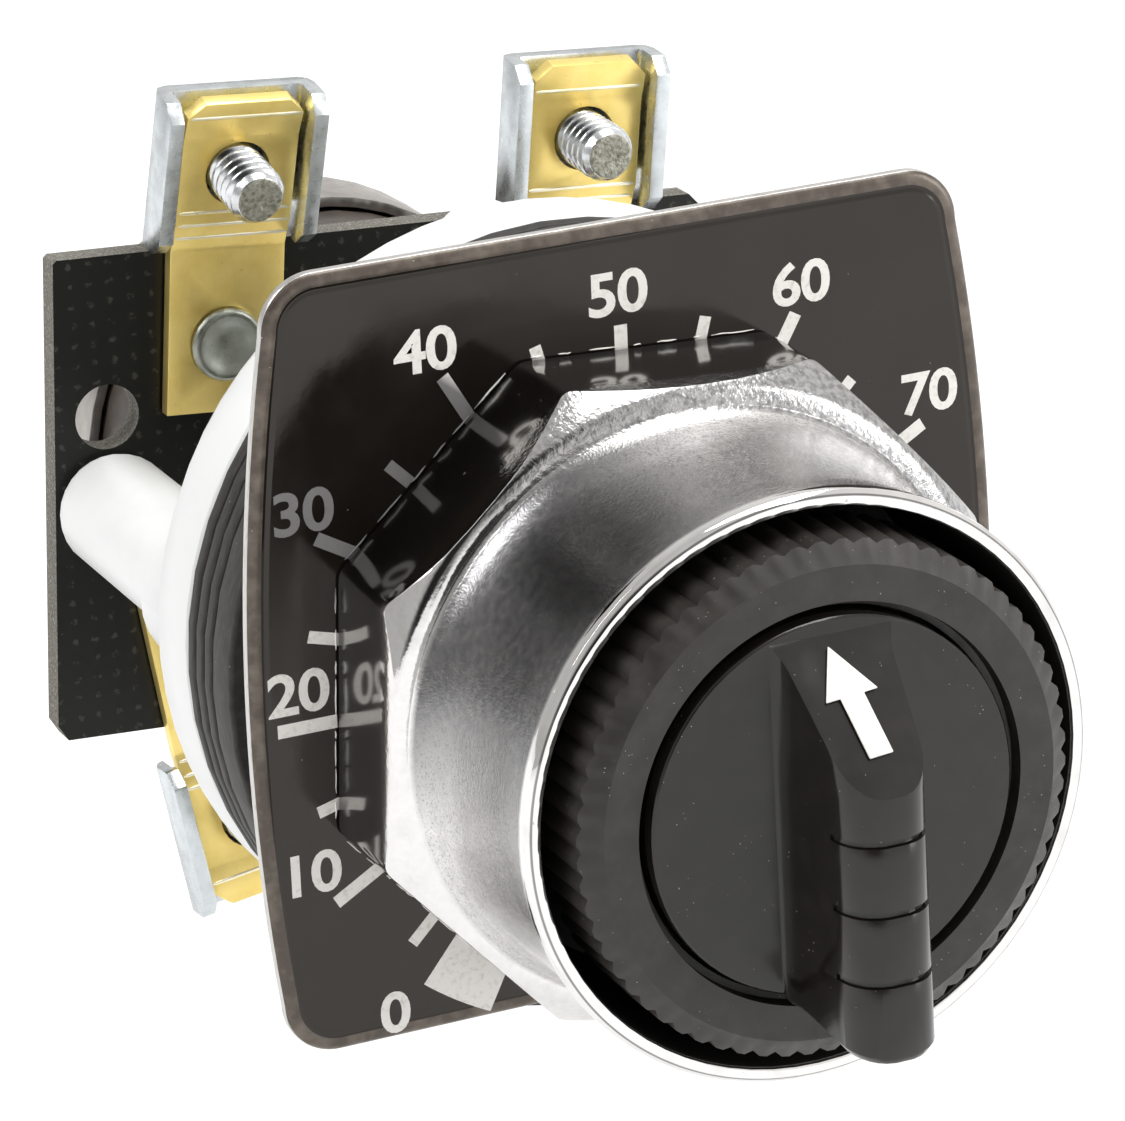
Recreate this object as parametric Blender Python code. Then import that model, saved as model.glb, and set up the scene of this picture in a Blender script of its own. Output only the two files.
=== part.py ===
"""Panel-mounted rotary potentiometer operator: knob in a full guard, square dial plate,
gaskets, moulded body with two posts, terminal board with three screw terminals, and the
potentiometer behind the board. Metres, +Z up, knob axis along Y with the knob toward -Y.
The origin is on the knob axis in the plane where the dial plate meets the panel."""

import math

import bmesh
import bpy
from mathutils import Matrix, Vector

MM = 0.001

# Dial plate
PLATE_T = 1.0
PLATE_TOP = 34.3
PLATE_BOTTOM = -26.3
PLATE_HALF_W = 30.75
PLATE_SIDE_RADIUS = 172.0
PLATE_CORNER_R = 4.3
PLATE_HOLE_R = 15.4

# Octagonal ring nut with full guard
NUT_BASE_Y = -1.3
NUT_SHOULDER_Y = -11.8
NUT_ACROSS_FLATS = 48.8
NUT_OFFSET = (0.45, 0.15)
NUT_TURN_DEG = 3.0
NUT_CORNER_R = 1.6
NUT_BORE_R = 15.4
BARREL_ROOT_R = 22.7
BARREL_R = 21.5
RIM_R = 22.2
RIM_INNER_R = 20.95
RIM_Y = -30.5
GUARD_FLOOR_Y = -12.3

# Threaded bushing, 30 mm nominal
THREAD_R = 15.0
THREAD_DEPTH = 0.55
THREAD_PITCH = 2.2
THREAD_START_Y = -10.4
BUSHING_FRONT_Y = -27.6
BUSHING_REAR_Y = 13.1
BUSHING_BORE_R = 11.5

# Knurled retaining ring
KNURL_R = 19.35
KNURL_DEPTH = 0.42
KNURL_TEETH = 66
KNURL_SAMPLES = 3
RING_FRONT_Y = -33.5
RING_REAR_Y = -25.6
RING_CHAMFER_R = 17.7
RING_CHAMFER_Y = -32.4
RING_OPENING_R = 14.95
RING_LIP_R = 14.45
RING_THREAD_R = 15.35

# Knob
DISC_R = 14.13
DISC_FRONT_Y = -33.75
KNOB_FLANGE_R = 15.05
HUB_R = 7.0
HUB_REAR_Y = -8.0
HUB_BORE_R = 3.5
FIN_RIDGE_Y = -43.1
FIN_LEAN = 0.05
FIN_TOP_Z = 13.0
FIN_BOTTOM_Z = -15.4
FIN_SLOPE_END_Z = 4.0
FIN_BASE_HALF_W = 4.7
FIN_FOOT_HALF_W = 4.2
FIN_RIDGE_HALF_W = 3.45
FIN_CROWN_H = 3.4
FIN_FOOT_RAKE = 1.2
FIN_CLEAR_Y = -33.85
FIN_GROOVES_Z = (0.7, -4.5, -9.6)
FIN_GROOVE_W = 0.5
FIN_GROOVE_DEPTH = 0.4

ARROW_TURN_DEG = 5.0
ARROW_X = 0.1

# Shaft and set screw
SHAFT_R = 3.17
SHAFT_FRONT_Y = -24.0
SHAFT_REAR_Y = 66.5

# Gaskets
GASKET_R = 30.35
GASKET_BORE_R = 16.0
GASKET_OFFSET = (0.15, 0.35)
GASKET_FRONTS = (4.6, 8.45, 10.15, 11.85)
GASKET_REARS = (8.25, 9.95, 11.65, 13.3)

# Moulded body behind the gaskets
REAR_TURN_DEG = 3.43
BODY_FRONT_Y = 13.5
BODY_EDGE_Y = 19.4
BODY_REAR_Y = 24.2
BODY_R = 30.25
BODY_REAR_R = 27.8
BODY_OFFSET = (0.15, 0.35)
BODY_BORE_R = 9.0
POST_X = 23.6
POST_Z = 0.5
POST_R = 4.75
LUG_R = 6.0
TOP_LUG_R = 4.3
TOP_LUG_X = -1.6
TOP_LUG_Z = 25.2

# Terminal board
BOARD_Y = 47.0
BOARD_T = 2.3
BOARD_LEFT = -28.25
BOARD_RIGHT = 28.8
BOARD_BOTTOM = -19.1
BOARD_TOP = 21.35
BOARD_CHAMFER = 2.2
BOARD_CHAMFER_RIGHT = 1.2
BOARD_CENTRE_HOLE_R = 5.2
BOARD_SIDE_HOLE = (-23.8, 8.0)
BOARD_SIDE_HOLE_R = 2.7

# Terminals: rivet position, turn in the board plane, lean of the pad out of it
STRIP_W = 9.8
STRIP_T = 1.2
STRIP_GAP = 0.3
STRIP_TAIL = 5.7
STRIP_BEND = 8.2
STRIP_JOG = 2.3
STRIP_JOG_OUT = 1.0
STRIP_PAD = 7.4
STRIP_TIP = 3.2
STRIP_CORNER = 1.3
TERMINALS = {
    "a": (-14.2, 13.5, 1.5, 11.0),
    "b": (16.35, 13.1, 1.3, 3.0),
    "c": (-15.6, -12.4, 180.0 - 12.0, 6.0),
}
SADDLE_W = 13.4
SADDLE_T = 1.2
SADDLE_DEPTH = 4.6
SADDLE_LEN = 13.0
SADDLE_RISE = 0.3
SADDLE_SHIFT = -0.25
SADDLE_NOTCH = 3.5
SCREW_R = 2.4
SCREW_TIP_R = 1.8
SCREW_OUT = 5.1
SCREW_HEAD_R = 5.4
SCREW_HEAD_H = 2.8
RIVET_R = 3.05
RIVET_SHANK_R = 1.6

# Potentiometer
POT_BASE_R = 19.1
POT_CAN_R = 20.2
POT_FRONT_Y = 51.0
POT_SPLIT_Y = 61.2
POT_REAR_Y = 70.5
POT_BUSHING_R = 4.76
POT_BUSHING_FRONT_Y = 41.0

COLOURS = {
    "black_gloss": ((0.012, 0.011, 0.011), 0.0, 0.18),
    "black_satin": ((0.03, 0.028, 0.027), 0.0, 0.45),
    "rubber": ((0.02, 0.019, 0.018), 0.0, 0.7),
    "chrome": ((0.75, 0.75, 0.76), 1.0, 0.12),
    "white": ((0.85, 0.85, 0.83), 0.0, 0.45),
    "laminate": ((0.02, 0.019, 0.017), 0.0, 0.4),
    "brass": ((0.72, 0.5, 0.16), 1.0, 0.25),
    "zinc": ((0.6, 0.62, 0.64), 1.0, 0.3),
    "bakelite": ((0.16, 0.13, 0.12), 0.0, 0.4),
    "nickel": ((0.5, 0.46, 0.43), 1.0, 0.35),
    "carbon": ((0.01, 0.01, 0.01), 0.0, 0.5),
}


def clear_scene():
    for obj in list(bpy.data.objects):
        bpy.data.objects.remove(obj, do_unlink=True)


def paint(obj, kind):
    colour, metallic, roughness = COLOURS[kind]
    material = bpy.data.materials.new(obj.name + "_material")
    material.use_nodes = True
    shader = material.node_tree.nodes["Principled BSDF"]
    shader.inputs["Base Color"].default_value = (*colour, 1.0)
    shader.inputs["Metallic"].default_value = metallic
    shader.inputs["Roughness"].default_value = roughness
    material.diffuse_color = (*colour, 1.0)
    obj.data.materials.append(material)
    return obj


def finish_mesh(name, bm, smooth=35.0):
    bmesh.ops.remove_doubles(bm, verts=bm.verts, dist=1e-7)
    bmesh.ops.recalc_face_normals(bm, faces=bm.faces)
    mesh = bpy.data.meshes.new(name)
    bm.to_mesh(mesh)
    bm.free()
    obj = bpy.data.objects.new(name, mesh)
    bpy.context.scene.collection.objects.link(obj)
    if smooth:
        mesh.shade_smooth()
        mesh.set_sharp_from_angle(angle=math.radians(smooth))
    return obj


def as_cutter(obj):
    obj.hide_render = True
    obj.display_type = "WIRE"
    return obj


def combine(obj, other, operation):
    modifier = obj.modifiers.new(operation.lower() + str(len(obj.modifiers)), "BOOLEAN")
    modifier.operation = operation
    modifier.solver = "EXACT"
    modifier.object = as_cutter(other)
    return obj


def lathe(name, profile, segments=64, radius=None):
    """Turns a closed loop of (radius, y) points about the Y axis. radius(r, y, angle) may vary it."""
    bm = bmesh.new()
    rings = []
    for r, y in profile:
        if r < 1e-6:
            rings.append([bm.verts.new((0.0, y * MM, 0.0))])
            continue
        ring = []
        for i in range(segments):
            angle = 2 * math.pi * i / segments
            here = radius(r, y, angle) if radius else r
            ring.append(bm.verts.new((here * math.cos(angle) * MM, y * MM, here * math.sin(angle) * MM)))
        rings.append(ring)
    for first, second in zip(rings, rings[1:] + rings[:1]):
        join_rings(bm, first, second)
    return finish_mesh(name, bm)


def join_rings(bm, first, second):
    if len(first) == 1 and len(second) == 1:
        return
    count = max(len(first), len(second))
    for i in range(count):
        j = (i + 1) % count
        corners = [first[i % len(first)], first[j % len(first)]]
        corners += [second[j % len(second)], second[i % len(second)]]
        unique = list(dict.fromkeys(corners))
        bm.faces.new(unique)


def prism(name, outline, y0, y1, smooth=35.0):
    """Extrudes a closed outline of (x, z) points along Y."""
    bm = bmesh.new()
    front = [bm.verts.new((x * MM, y0 * MM, z * MM)) for x, z in outline]
    back = [bm.verts.new((x * MM, y1 * MM, z * MM)) for x, z in outline]
    bm.faces.new(front)
    bm.faces.new(back)
    for i in range(len(outline)):
        j = (i + 1) % len(outline)
        bm.faces.new((front[i], front[j], back[j], back[i]))
    return finish_mesh(name, bm, smooth)


def loft(name, sections, smooth=35.0):
    """Joins equal-length loops of (x, y, z) millimetre points, with both ends closed."""
    bm = bmesh.new()
    loops = [[bm.verts.new(Vector(point) * MM) for point in section] for section in sections]
    bm.faces.new(loops[0])
    bm.faces.new(loops[-1])
    for first, second in zip(loops, loops[1:]):
        for i in range(len(first)):
            j = (i + 1) % len(first)
            bm.faces.new((first[i], first[j], second[j], second[i]))
    return finish_mesh(name, bm, smooth)


def bake(obj, matrix):
    """Moves the mesh itself, so that the object keeps the shared origin."""
    obj.data.transform(matrix)
    return obj


def place_y(obj, x, z):
    return bake(obj, Matrix.Translation((x * MM, 0.0, z * MM)))


def rear_matrix():
    """The body, board and terminals sit turned a little about the knob axis."""
    return Matrix.Rotation(math.radians(REAR_TURN_DEG), 4, "Y")


def drill(obj, name, radius, y0, y1, x=0.0, z=0.0, matrix=None, segments=32):
    cutter = lathe(name + "_cutter", [(0, y0), (radius, y0), (radius, y1), (0, y1)], segments)
    place_y(cutter, x, z)
    if matrix is not None:
        bake(cutter, matrix)
    return combine(obj, cutter, "DIFFERENCE")


def rounded_polygon(corners, radius, steps=5):
    """Replaces each corner of a convex polygon with an arc."""
    points = []
    count = len(corners)
    for i in range(count):
        here = Vector(corners[i])
        before = (Vector(corners[i - 1]) - here).normalized()
        after = (Vector(corners[(i + 1) % count]) - here).normalized()
        half = math.acos(max(-1.0, min(1.0, before.dot(after)))) / 2
        reach = radius / math.tan(half)
        centre = here + (before + after).normalized() * (radius / math.sin(half))
        start = here + before * reach - centre
        end = here + after * reach - centre
        for step in range(steps + 1):
            t = step / steps
            spot = start.slerp(end, t).normalized() * radius
            points.append(tuple(centre + spot))
    return points


def plate_outline():
    """Square plate whose two sides bow outward slightly."""
    def side(z):
        return PLATE_HALF_W - z * z / (2 * PLATE_SIDE_RADIUS)

    r = PLATE_CORNER_R
    right = []
    for i in range(13):
        z = PLATE_BOTTOM + r + (PLATE_TOP - PLATE_BOTTOM - 2 * r) * i / 12
        right.append((side(z), z))
    top = arc((side(PLATE_TOP - r) - r, PLATE_TOP - r), r, 4, 90)
    bottom = arc((side(PLATE_BOTTOM + r) - r, PLATE_BOTTOM + r), r, -90, -4)
    half = bottom + right[1:-1] + top
    return half + [(-x, z) for x, z in reversed(half)]


def arc(centre, radius, start, end, steps=7):
    points = []
    for i in range(steps + 1):
        angle = math.radians(start + (end - start) * i / steps)
        points.append((centre[0] + radius * math.cos(angle), centre[1] + radius * math.sin(angle)))
    return points


def build_plate():
    plate = prism("legend_plate", plate_outline(), -PLATE_T, 0.0)
    drill(plate, "plate_hole", PLATE_HOLE_R, -PLATE_T - 1, 1.0, segments=72)
    return paint(plate, "black_gloss")


def nut_profile():
    s = NUT_SHOULDER_Y
    return [
        (NUT_BORE_R, NUT_BASE_Y), (28.0, NUT_BASE_Y), (28.0, s + 4.8),
        (24.6, s + 0.35), (24.1, s), (BARREL_ROOT_R + 0.35, s - 0.05), (BARREL_ROOT_R, s - 0.35),
        (22.15, s - 1.6), (21.7, s - 3.6), (BARREL_R, s - 7.2), (BARREL_R, s - 12.4),
        (22.0, s - 16.2), (RIM_R, RIM_Y + 1.0), (RIM_R - 0.05, RIM_Y + 0.4),
        (RIM_R - 0.42, RIM_Y), (RIM_INNER_R + 0.15, RIM_Y + 0.1),
        (RIM_INNER_R, RIM_Y + 0.5), (20.6, RIM_Y + 6.0),
        (20.0, GUARD_FLOOR_Y), (NUT_BORE_R, GUARD_FLOOR_Y),
    ]


def build_nut():
    nut = lathe("ring_nut", nut_profile(), 72)
    corner = NUT_ACROSS_FLATS / 2 / math.cos(math.pi / 8)
    turn = math.radians(NUT_TURN_DEG)
    corners = []
    for i in range(8):
        angle = math.pi / 8 + i * math.pi / 4 - turn
        corners.append((NUT_OFFSET[0] + corner * math.cos(angle), NUT_OFFSET[1] + corner * math.sin(angle)))
    outline = rounded_polygon(corners, NUT_CORNER_R, 4)
    combine(nut, prism("nut_octagon", outline, NUT_BASE_Y - 45, NUT_BASE_Y + 5), "INTERSECT")
    return paint(nut, "chrome")


def thread_profile(radius, depth, pitch, start, end):
    """Outer (radius, y) points of a ridged cylinder from start to end."""
    points = [(radius - depth, start)]
    count = int((end - start) / pitch)
    for i in range(count):
        y = start + i * pitch
        points += [(radius - depth, y + 0.1 * pitch), (radius, y + 0.55 * pitch)]
    points.append((radius - depth, end))
    return points


def build_bushing():
    outer = [(BUSHING_BORE_R, BUSHING_FRONT_Y)]
    outer += [(THREAD_R - THREAD_DEPTH, BUSHING_FRONT_Y), (THREAD_R - THREAD_DEPTH, THREAD_START_Y)]
    outer += thread_profile(THREAD_R, THREAD_DEPTH, THREAD_PITCH, THREAD_START_Y + 0.01, BUSHING_REAR_Y)
    inner = [(4.2, BUSHING_REAR_Y), (4.2, 9.0), (BUSHING_BORE_R, 9.0)]
    return paint(lathe("threaded_bushing", outer + inner, 32), "zinc")


def ring_profile():
    return [
        (KNURL_R, RING_REAR_Y), (RING_THREAD_R, RING_REAR_Y), (RING_THREAD_R, -31.0),
        (RING_LIP_R, -31.2), (RING_LIP_R, -32.2), (RING_OPENING_R, -32.3),
        (RING_OPENING_R + 0.08, RING_FRONT_Y), (RING_CHAMFER_R, RING_FRONT_Y),
        (KNURL_R, RING_CHAMFER_Y),
    ]


def knurled(r, y, angle):
    if r < KNURL_R - 0.01:
        return r
    phase = (angle * KNURL_TEETH / (2 * math.pi)) % 1.0
    return r - KNURL_DEPTH * (1.0 - math.sin(math.pi * phase))


def build_knob_ring():
    ring = lathe("knob_ring", ring_profile(), KNURL_TEETH * KNURL_SAMPLES, knurled)
    return paint(ring, "black_satin")


def fin_ridge(z):
    """Height of the ridge above the disc; it rises a little toward the lower end."""
    return DISC_FRONT_Y - FIN_RIDGE_Y + max(0.0, FIN_SLOPE_END_Z - z) * FIN_LEAN


def fin_half_width(height, z):
    """Half width of the fin at a height above the disc: concave flare, then a drafted side."""
    t = max(0.0, min(1.0, height / (fin_ridge(z) - FIN_CROWN_H)))
    down = (FIN_TOP_Z - z) / (FIN_TOP_Z - FIN_BOTTOM_Z)
    base = FIN_BASE_HALF_W + (FIN_FOOT_HALF_W - FIN_BASE_HALF_W) * max(0.0, min(1.0, down)) - 0.4
    flare = 0.5 * (1 - min(1.0, height / 1.6)) ** 2
    return base + flare - (base - FIN_RIDGE_HALF_W) * t


def fin_section(z):
    """Closed loop of the fin at height z along the knob, with a broadly rounded crown."""
    shoulder = fin_ridge(z) - FIN_CROWN_H
    left = [(fin_half_width(0.0, z), -0.8)]
    for height in (0.0, 0.3, 0.8, 1.6, 3.8, shoulder):
        left.append((fin_half_width(height, z), height))
    half = fin_half_width(shoulder, z)
    for i in range(1, 8):
        angle = math.radians(11.6 * i)
        left.append((half * math.cos(angle) ** 0.8, shoulder + FIN_CROWN_H * math.sin(angle)))
    points = [(x, DISC_FRONT_Y - h, z) for x, h in left]
    return points + [(-x, y, z) for x, y, z in reversed(points)]


def build_fin():
    stations = (FIN_BOTTOM_Z, FIN_BOTTOM_Z + 0.5, -10.0, -5.0, 0.0, FIN_SLOPE_END_Z, FIN_TOP_Z + 0.5)
    sections = [fin_section(z) for z in stations]
    for i in (0, 1):
        rake = FIN_FOOT_RAKE / (DISC_FRONT_Y - FIN_RIDGE_Y)
        raked = [(x, y, z + rake * min(9.4, y - FIN_RIDGE_Y)) for x, y, z in sections[i]]
        sections[i] = raked
    sections[0] = [(x * 0.9, y + (0.3 if y < FIN_RIDGE_Y + 2.0 else 0.0), z) for x, y, z in sections[0]]
    fin = loft("knob_fin", sections)
    inner = DISC_R - 0.3
    ring = [(inner, FIN_CLEAR_Y), (21.0, FIN_CLEAR_Y), (21.0, -30.0), (inner, -30.0)]
    combine(fin, lathe("fin_clearance", ring, 60), "DIFFERENCE")
    slope = [(FIN_TOP_Z, DISC_FRONT_Y + 0.02), (FIN_SLOPE_END_Z, FIN_RIDGE_Y + 0.05)]
    dz = slope[1][0] - slope[0][0]
    dy = slope[1][1] - slope[0][1]
    far = (slope[1][0] + dz * 0.6, slope[1][1] + dy * 0.6)
    section = [(slope[0][1], slope[0][0]), (far[1], far[0]), (far[1], 20.0), (slope[0][1], 20.0)]
    bm = bmesh.new()
    left = [bm.verts.new((-9 * MM, y * MM, z * MM)) for y, z in section]
    right = [bm.verts.new((9 * MM, y * MM, z * MM)) for y, z in section]
    bm.faces.new(left)
    bm.faces.new(right)
    for i in range(4):
        j = (i + 1) % 4
        bm.faces.new((left[i], left[j], right[j], right[i]))
    combine(fin, finish_mesh("fin_slope_cutter", bm, 0), "DIFFERENCE")
    return fin


def groove_cutter(name, z):
    """U-shaped cutter that scores the ridge and both sides of the fin."""
    half = FIN_GROOVE_W / 2
    outer = []
    loop_in = []
    for x, y, _ in fin_section(z):
        if y > DISC_FRONT_Y - 5.0:
            continue
        outer.append((x * 1.5 + math.copysign(1.0, x) * 0.2, y - 1.0))
        sink = FIN_GROOVE_DEPTH * min(1.0, (DISC_FRONT_Y - 5.0 - y) / FIN_CROWN_H)
        loop_in.append((x * 0.94, y + sink))
    loop = loop_in + outer[::-1]
    return loft(name, [[(x, y, z - half) for x, y in loop], [(x, y, z + half) for x, y in loop]], 0)


def build_knob():
    profile = [
        (0, DISC_FRONT_Y), (DISC_R - 0.15, DISC_FRONT_Y), (DISC_R, DISC_FRONT_Y + 0.15),
        (DISC_R, -30.95), (KNOB_FLANGE_R, -30.85), (KNOB_FLANGE_R, -28.4),
        (HUB_R, -28.0), (HUB_R, HUB_REAR_Y), (HUB_BORE_R, HUB_REAR_Y),
        (HUB_BORE_R, SHAFT_FRONT_Y - 0.4), (0, SHAFT_FRONT_Y - 0.4),
    ]
    knob = lathe("knob", profile, 72)
    combine(knob, build_fin(), "UNION")
    for i, z in enumerate(FIN_GROOVES_Z):
        combine(knob, groove_cutter(f"fin_groove_{i}", z), "DIFFERENCE")
    hole = lathe("set_screw_hole", [(0, 0), (1.8, 0), (1.8, 12), (0, 12)], 20)
    bake(hole, Matrix.Translation((0, -14 * MM, 0)) @ Matrix.Rotation(math.radians(90), 4, "X"))
    combine(knob, hole, "DIFFERENCE")
    return paint(knob, "black_gloss")


def build_arrow():
    """White arrow seated just proud of the sloped face of the fin."""
    run = FIN_TOP_Z - FIN_SLOPE_END_Z
    rise = DISC_FRONT_Y - FIN_RIDGE_Y
    outline = [(0, 12.0), (-2.1, 8.0), (-0.95, 8.0), (-0.95, 3.2), (0.95, 3.2), (0.95, 8.0), (2.1, 8.0)]
    arrow = prism("arrow_insert", outline, -0.32, -0.12, 0)
    place_y(arrow, 0.0, -3.2)
    bake(arrow, Matrix.Rotation(math.radians(-ARROW_TURN_DEG), 4, "Y"))
    place_y(arrow, ARROW_X, 3.2)
    angle = math.atan2(rise, run)
    end = Vector((0.0, (FIN_RIDGE_Y) * MM, FIN_SLOPE_END_Z * MM))
    bake(arrow, Matrix.Translation(end) @ Matrix.Rotation(-angle, 4, "X"))
    return paint(arrow, "white")


def build_set_screw():
    screw = lathe("set_screw", [(0, 3.6), (1.5, 3.6), (1.5, 6.8), (0.7, 6.8), (0.7, 5.8), (0, 5.8)], 20)
    bake(screw, Matrix.Translation((0, -14 * MM, 0)) @ Matrix.Rotation(math.radians(90), 4, "X"))
    return paint(screw, "zinc")


def build_shaft():
    r = SHAFT_R
    profile = [(0, SHAFT_FRONT_Y), (r - 0.4, SHAFT_FRONT_Y), (r, SHAFT_FRONT_Y + 0.4)]
    profile += [(r, SHAFT_REAR_Y - 0.3), (r - 0.3, SHAFT_REAR_Y), (0, SHAFT_REAR_Y)]
    return paint(lathe("shaft", profile, 32), "zinc")


def build_gaskets():
    for i, (front, rear) in enumerate(zip(GASKET_FRONTS, GASKET_REARS), 1):
        ease = 0.22
        profile = [
            (GASKET_BORE_R, front), (GASKET_R - ease, front), (GASKET_R, front + ease),
            (GASKET_R, rear - ease), (GASKET_R - ease, rear), (GASKET_BORE_R, rear),
        ]
        gasket = place_y(lathe(f"gasket_{i}", profile, 48), *GASKET_OFFSET)
        paint(gasket, "rubber")


def build_body():
    profile = [
        (BODY_BORE_R, BODY_FRONT_Y), (BODY_R - 0.3, BODY_FRONT_Y), (BODY_R, BODY_FRONT_Y + 0.3),
        (BODY_R, BODY_EDGE_Y), (BODY_REAR_R + 0.3, BODY_REAR_Y - 0.35), (BODY_REAR_R, BODY_REAR_Y),
        (BODY_BORE_R, BODY_REAR_Y),
    ]
    body = place_y(lathe("body_flange", profile, 64), *BODY_OFFSET)
    for side, x in (("left", -POST_X), ("right", POST_X)):
        post = [
            (0, BODY_REAR_Y - 4), (LUG_R, BODY_REAR_Y - 4), (LUG_R, BODY_REAR_Y + 0.2),
            (LUG_R - 0.5, BODY_REAR_Y + 0.9), (POST_R + 0.15, BODY_REAR_Y + 1.1),
            (POST_R, BODY_REAR_Y + 3.0), (POST_R, BOARD_Y - 1.4), (POST_R - 0.2, BOARD_Y - 0.7),
            (POST_R - 0.75, BOARD_Y - 0.25), (0, BOARD_Y - 0.25),
        ]
        combine(body, place_y(lathe(f"post_{side}", post, 28), x, POST_Z), "UNION")
    lug = [
        (0, BODY_FRONT_Y + 3), (TOP_LUG_R, BODY_FRONT_Y + 3), (TOP_LUG_R, BODY_REAR_Y + 0.2),
        (TOP_LUG_R - 0.5, BODY_REAR_Y + 0.9), (0, BODY_REAR_Y + 0.9),
    ]
    combine(body, place_y(lathe("lug_top", lug, 36), TOP_LUG_X, TOP_LUG_Z), "UNION")
    for side, x in (("left", -POST_X), ("right", POST_X)):
        drill(body, f"post_hole_{side}", 1.5, BOARD_Y - 12, BOARD_Y + 2, x, POST_Z, segments=16)
    return paint(body, "white")


def build_board():
    c = BOARD_CHAMFER
    k = BOARD_CHAMFER_RIGHT
    outline = [
        (BOARD_LEFT + 0.3, BOARD_TOP), (BOARD_RIGHT - k, BOARD_TOP), (BOARD_RIGHT, BOARD_TOP - k),
        (BOARD_RIGHT, BOARD_BOTTOM + k), (BOARD_RIGHT - k, BOARD_BOTTOM),
        (BOARD_LEFT + c * 0.4, BOARD_BOTTOM), (BOARD_LEFT, BOARD_BOTTOM + c * 0.6), (BOARD_LEFT, BOARD_TOP - 0.3),
    ]
    board = prism("terminal_board", outline, BOARD_Y, BOARD_Y + BOARD_T, 0)
    y0 = BOARD_Y - 2
    y1 = BOARD_Y + BOARD_T + 2
    drill(board, "board_centre", BOARD_CENTRE_HOLE_R, y0, y1)
    drill(board, "board_side", BOARD_SIDE_HOLE_R, y0, y1, *BOARD_SIDE_HOLE, segments=40)
    for side, x in (("left", -POST_X), ("right", POST_X)):
        drill(board, f"board_post_{side}", 1.9, y0, y1, x, POST_Z, segments=20)
    for key, (x, z, _, _) in TERMINALS.items():
        drill(board, f"board_rivet_{key}", RIVET_SHANK_R + 0.3, y0, y1, x, z, segments=20)
    return paint(board, "laminate")


def terminal_matrix(key):
    x, z, turn, _ = TERMINALS[key]
    place = Matrix.Translation((x * MM, BOARD_Y * MM, z * MM))
    return rear_matrix() @ place @ Matrix.Rotation(math.radians(turn), 4, "Y")


def pad_frame(key):
    """Matrix from pad coordinates (screw axis at the origin, rear face at y = 0) to the world."""
    lean = math.radians(TERMINALS[key][3])
    bend_v = STRIP_BEND + STRIP_JOG
    out = -STRIP_GAP - STRIP_JOG_OUT
    mid = STRIP_PAD / 2 + 0.55
    spot = Vector((0.0, (out - mid * math.sin(lean)) * MM, (bend_v + mid * math.cos(lean)) * MM))
    return terminal_matrix(key) @ Matrix.Translation(spot) @ Matrix.Rotation(lean, 4, "X")


def strip_path(lean):
    """(v, depth, angle) stations of the rear face of a strip; depth is toward the front."""
    path = [(-STRIP_TAIL, STRIP_GAP, 0.0), (STRIP_BEND - 0.5, STRIP_GAP, 0.0)]
    jog = math.atan2(STRIP_JOG_OUT, STRIP_JOG)
    v, d = STRIP_BEND, STRIP_GAP
    path.append((v, d + 0.05, jog / 2))
    path.append((v + 0.5, d + 0.25, jog))
    end_v = v + STRIP_JOG
    end_d = d + STRIP_JOG_OUT
    path.append((end_v - 0.4, end_d - 0.22, (jog + lean) / 2))
    path.append((end_v, end_d, lean))
    pad = STRIP_PAD
    path.append((end_v + pad * math.cos(lean), end_d + pad * math.sin(lean), lean))
    v, d = path[-1][0], path[-1][1]
    back = lean + math.radians(12)
    path.append((v + 0.45 * math.cos(back), d + 0.45 * math.sin(back), back))
    v, d = path[-1][0], path[-1][1]
    tip = STRIP_TIP - STRIP_CORNER
    path.append((v + tip * math.cos(back), d + tip * math.sin(back), back))
    v, d = path[-1][0], path[-1][1]
    path.append((v + STRIP_CORNER * math.cos(back), d + STRIP_CORNER * math.sin(back), back))
    return path


def build_strip(key):
    lean = math.radians(TERMINALS[key][3])
    path = strip_path(lean)
    sections = []
    for i, (v, d, angle) in enumerate(path):
        half = STRIP_W / 2 - (STRIP_CORNER if i == len(path) - 1 else 0.0)
        fv = v - STRIP_T * math.sin(angle)
        fd = d + STRIP_T * math.cos(angle)
        sections.append([(-half, -d, v), (half, -d, v), (half, -fd, fv), (-half, -fd, fv)])
    strip = loft(f"strip_{key}", sections, 20)
    bake(strip, terminal_matrix(key))
    drill(strip, f"strip_rivet_{key}", RIVET_SHANK_R + 0.3, -4, 2, matrix=terminal_matrix(key), segments=20)
    drill(strip, f"strip_screw_{key}", SCREW_R + 0.3, -4, 3, matrix=pad_frame(key), segments=28)
    return paint(strip, "brass")


def saddle_section(v, trim):
    """U section of the saddle: back plate behind the strip, side flanges toward the front."""
    half = SADDLE_W / 2
    t = SADDLE_T
    back = 0.25 + t
    front = back - SADDLE_DEPTH + trim
    r = 1.1
    outer = [(-half, front), (-half, back - r), (-half + 0.3 * r, back - 0.3 * r), (-half + r, back)]
    outer += [(half - r, back), (half - 0.3 * r, back - 0.3 * r), (half, back - r), (half, front)]
    inner = [(half - t, front), (half - t, back - t - 0.25), (half - t - 0.25, back - t)]
    inner += [(-half + t + 0.25, back - t), (-half + t, back - t - 0.25), (-half + t, front)]
    return [(x + SADDLE_SHIFT, y, v) for x, y in outer + inner]


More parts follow.
